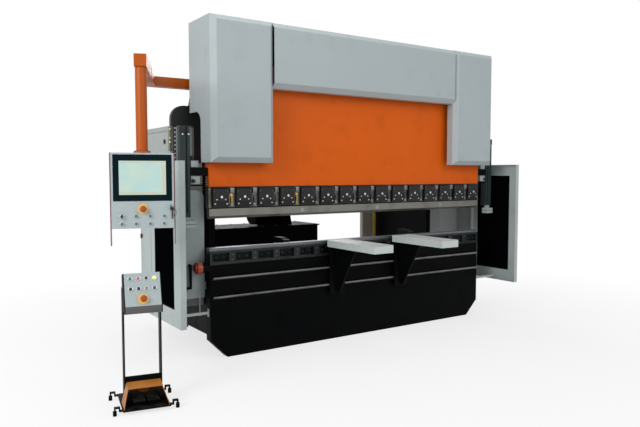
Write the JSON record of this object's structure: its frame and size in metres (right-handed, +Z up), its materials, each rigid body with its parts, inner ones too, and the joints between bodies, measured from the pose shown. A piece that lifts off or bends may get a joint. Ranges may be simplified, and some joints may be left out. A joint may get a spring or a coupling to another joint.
{
  "type": "press brake",
  "caption": "Hydraulic press brake with a moving ram over a fixed table, grey covers, guard doors, back gauge, sheet support arms, hanging control console and foot pedal stand.",
  "frame": {"origin": "on the floor under the middle of the bending line, on the table plate's lower edge", "axes": "+X along the table to the right as the operator sees it, +Y from the front to the back, +Z up"},
  "size_m": [4.4711, 2.2755, 2.728],
  "materials": {
    "frame_black": "satin black paint",
    "cover_grey": "fine textured light grey powder coat",
    "guard_grey": "satin light grey powder coat",
    "machine_orange": "satin orange paint",
    "tool_steel": "ground and oiled steel",
    "holder_steel": "blackened steel",
    "clamp_black": "blackened steel",
    "rail_steel": "milled steel",
    "arm_pale": "pale grey paint",
    "dark_plastic": "matte",
    "window_dark": "smoked sheet, glossy",
    "motor_black": "satin black paint",
    "rod_chrome": "hard chrome",
    "curtain_yellow": "yellow paint",
    "post_grey": "grey brown paint",
    "hood_amber": "worn orange paint",
    "console_grey": "satin light grey",
    "screen_frame": "dark glass",
    "control_parts": "moulded",
    "drive_red": "gloss orange red",
    "column_grey": "dark grey anodised"
  },
  "bodies": {
    "machine": {"side_frames": "frame_black", "cross_ties": "frame_black", "table_plate": "frame_black", "front_rails": "rail_steel", "die_holder": "holder_steel", "die": "tool_steel", "side_covers": "cover_grey", "middle_cover": "cover_grey", "cabinets": "guard_grey", "side_panels": "guard_grey", "end_plate": "guard_grey", "guard_bars": "guard_grey", "crowning_drive": "drive_red", "drive_gearbox": "dark_plastic", "cylinders": "frame_black", "oil_tank": "motor_black", "pump_motor": "motor_black", "rear_posts": "post_grey", "light_curtain": "curtain_yellow", "gauge_rails": "rail_steel", "chain_arch": "dark_plastic", "drag_chain": "dark_plastic", "console_arm": "machine_orange", "stand_frame": "frame_black", "stand_box": "console_grey", "stand_hood": "hood_amber"},
    "ram": {"ram_plate": "machine_orange", "piston_rods": "rod_chrome", "punch_holder": "holder_steel", "clamps": "clamp_black", "punch": "tool_steel", "guard_carriers": "frame_black", "laser_columns": "column_grey", "laser_heads": "console_grey"},
    "left_guard_door": {"left_door": "guard_grey", "left_door_window": "window_dark"},
    "right_guard_door": {"right_door": "guard_grey", "right_door_window": "window_dark"},
    "gauge_carriage": {"gauge_carriages": "frame_black"},
    "gauge_crossbeam": {"gauge_beam": "rail_steel"},
    "gauge_finger_left": {"left_finger": "rail_steel"},
    "gauge_finger_right": {"right_finger": "rail_steel"},
    "support_left": {"left_support_arm": "arm_pale", "left_arm_bracket": "frame_black"},
    "support_right": {"right_support_arm": "arm_pale", "right_arm_bracket": "frame_black"},
    "console": {"console_post": "machine_orange", "console_box": "console_grey", "console_screen": "screen_frame", "console_controls": "control_parts"},
    "pedal_left": {"left_pedal": "dark_plastic"},
    "pedal_right": {"right_pedal": "dark_plastic"}
  },
  "joints": [
    {"name": "ram_stroke", "type": "slide", "parent": "machine", "child": "ram", "axis": [0, 0, -1], "range_m": [0, 0.2]},
    {"name": "left_door_swing", "type": "hinge", "parent": "machine", "child": "left_guard_door", "pos_m": [-1.908, 0.334, 0.971], "axis": [0, 0, -1], "range_deg": [0, 90]},
    {"name": "right_door_swing", "type": "hinge", "parent": "machine", "child": "right_guard_door", "pos_m": [1.908, 0.334, 0.971], "axis": [0, 0, 1], "range_deg": [0, 90]},
    {"name": "gauge_depth", "type": "slide", "parent": "machine", "child": "gauge_carriage", "axis": [0, 1, 0], "range_m": [0, 0.45]},
    {"name": "gauge_height", "type": "slide", "parent": "gauge_carriage", "child": "gauge_crossbeam", "axis": [0, 0, 1], "range_m": [-0.05, 0.06]},
    {"name": "left_finger_shift", "type": "slide", "parent": "gauge_crossbeam", "child": "gauge_finger_left", "axis": [1, 0, 0], "range_m": [-0.25, 0.5]},
    {"name": "right_finger_shift", "type": "slide", "parent": "gauge_crossbeam", "child": "gauge_finger_right", "axis": [1, 0, 0], "range_m": [-0.5, 0.25]},
    {"name": "left_support_slide", "type": "slide", "parent": "machine", "child": "support_left", "axis": [1, 0, 0], "range_m": [-0.9, 0.2]},
    {"name": "right_support_slide", "type": "slide", "parent": "machine", "child": "support_right", "axis": [1, 0, 0], "range_m": [-0.25, 0.9]},
    {"name": "console_swivel", "type": "hinge", "parent": "machine", "child": "console", "pos_m": [-2.254, -0.54, 1.9], "axis": [0, 0, 1], "range_deg": [-60, 60]},
    {"name": "left_pedal_press", "type": "hinge", "parent": "machine", "child": "pedal_left", "pos_m": [-2.38001, -0.74934, 0.072], "axis": [0.982, -0.1891, 0], "range_deg": [0, 8], "stiffness_Nm_per_rad": 12, "springref_deg": -14.32},
    {"name": "right_pedal_press", "type": "hinge", "parent": "machine", "child": "pedal_right", "pos_m": [-2.2936, -0.76599, 0.072], "axis": [0.982, -0.1891, 0], "range_deg": [0, 8], "stiffness_Nm_per_rad": 12, "springref_deg": -14.32}
  ]
}
